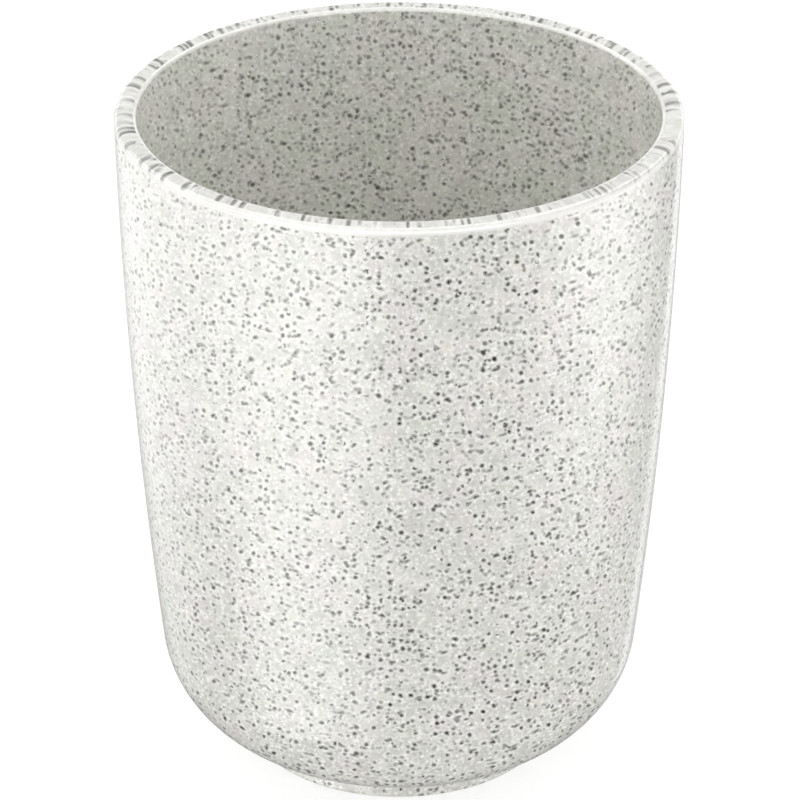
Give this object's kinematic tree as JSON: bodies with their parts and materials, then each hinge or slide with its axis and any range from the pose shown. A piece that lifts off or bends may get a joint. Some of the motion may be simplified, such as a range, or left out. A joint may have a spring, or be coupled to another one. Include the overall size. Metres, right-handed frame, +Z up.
{
  "type": "toothbrush holder",
  "caption": "Round open tumbler for toothbrushes, in speckled stone-look resin, gently barrelled, with a rounded bottom corner, a short foot ring and a non-slip pad underneath.",
  "frame": {"origin": "middle of the pad's underside, where the cup stands", "axes": "+Z up the cup's own axis, out of its mouth; the cup is round, so X and Y are free"},
  "size_m": [0.084, 0.084, 0.106],
  "materials": {
    "speckled_resin": "satin",
    "eva_foam": "matte",
    "pad_glue": "satin"
  },
  "bodies": {
    "root": {"cup_body": "speckled_resin", "non_slip_pad": "eva_foam", "pad_adhesive": "pad_glue"}
  },
  "joints": []
}
